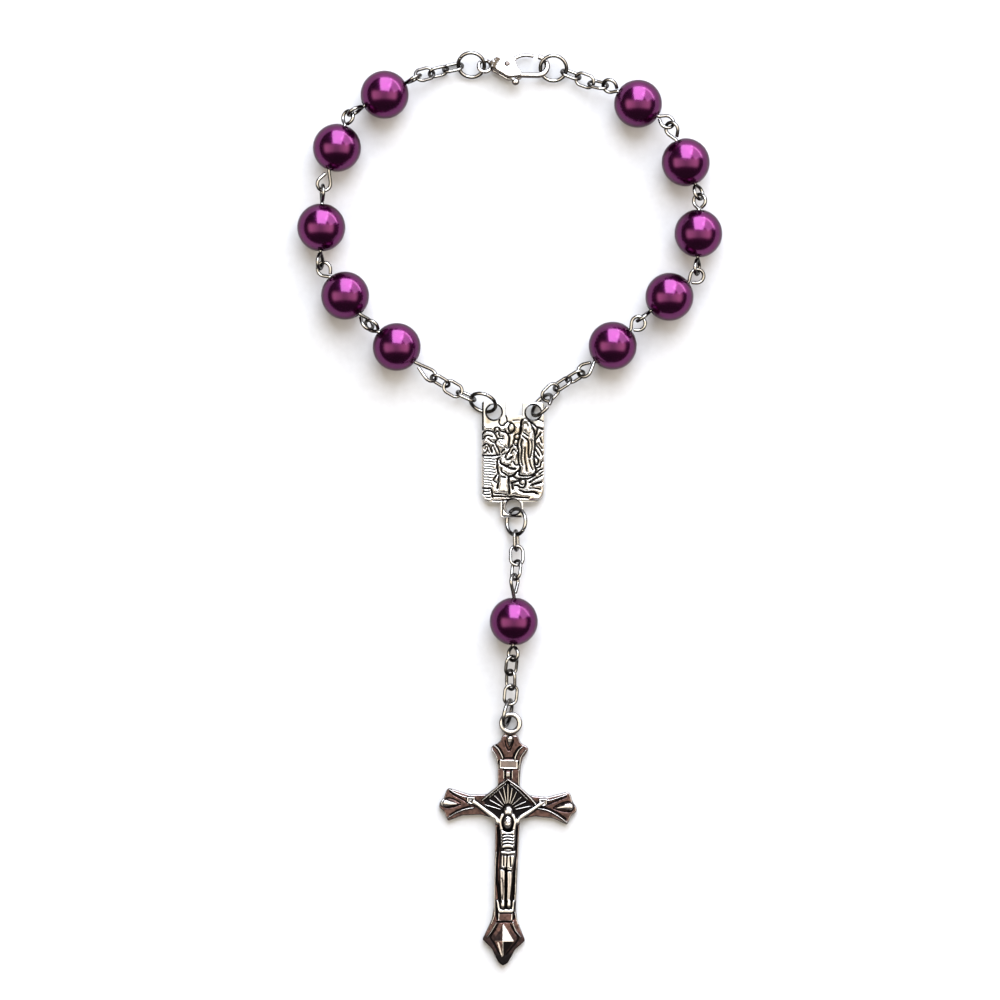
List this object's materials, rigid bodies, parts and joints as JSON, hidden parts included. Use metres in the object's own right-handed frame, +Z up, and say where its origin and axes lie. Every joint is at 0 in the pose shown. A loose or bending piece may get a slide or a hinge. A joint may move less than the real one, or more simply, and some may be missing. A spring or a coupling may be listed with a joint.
{
  "type": "rosary bracelet",
  "caption": "Rosary bracelet lying flat: drilled round beads on wire eye pins, cable links, jump rings, a lobster clasp, a cast centrepiece and a short drop with a bead and a crucifix.",
  "frame": {"origin": "on the table under the middle of the bracelet's outer box", "axes": "+Y from the crucifix up to the clasp, along the bracelet's length; +X to the right seen from above; +Z up out of the table"},
  "size_m": [0.0704, 0.152, 0.008],
  "materials": {
    "bead_lacquer": "deep purple pearl lacquer, high gloss",
    "plated_wire": "bright silver plating",
    "clasp_metal": "cast and plated, satin, edges rubbed bright",
    "antique_silver": "cast, bright raised forms over black patina in the hollows",
    "antique_silver_dark": "cast, brown-grey patina on the flats, bright edges, black hollows"
  },
  "bodies": {
    "bracelet": {"bead_l1": "bead_lacquer", "bead_l2": "bead_lacquer", "bead_l3": "bead_lacquer", "bead_l4": "bead_lacquer", "bead_l5": "bead_lacquer", "bead_r1": "bead_lacquer", "bead_r2": "bead_lacquer", "bead_r3": "bead_lacquer", "bead_r4": "bead_lacquer", "bead_r5": "bead_lacquer", "bead_drop": "bead_lacquer", "pin_l1": "plated_wire", "pin_l2": "plated_wire", "pin_l3": "plated_wire", "pin_l4": "plated_wire", "pin_l5": "plated_wire", "pin_r1": "plated_wire", "pin_r2": "plated_wire", "pin_r3": "plated_wire", "pin_r4": "plated_wire", "pin_r5": "plated_wire", "pin_drop": "plated_wire", "chain_top_left": "plated_wire", "chain_top_right": "plated_wire", "chain_mid_left": "plated_wire", "chain_mid_right": "plated_wire", "chain_drop_upper": "plated_wire", "chain_drop_lower": "plated_wire", "ring_clasp_left": "plated_wire", "ring_clasp_right": "plated_wire", "ring_centre_left": "plated_wire", "ring_centre_right": "plated_wire", "ring_centre_drop": "plated_wire", "ring_cross": "plated_wire", "clasp_body": "clasp_metal", "centrepiece": "antique_silver", "crucifix": "antique_silver_dark"},
    "lever": {"clasp_lever": "clasp_metal"}
  },
  "joints": [
    {"name": "clasp_lever_hinge", "type": "hinge", "parent": "bracelet", "child": "lever", "pos_m": [-0.00045, 0.07353, 0.00185], "axis": [-0.006, -0.342, -0.9397], "range_deg": [0, 20], "stiffness_Nm_per_rad": 0.005}
  ]
}
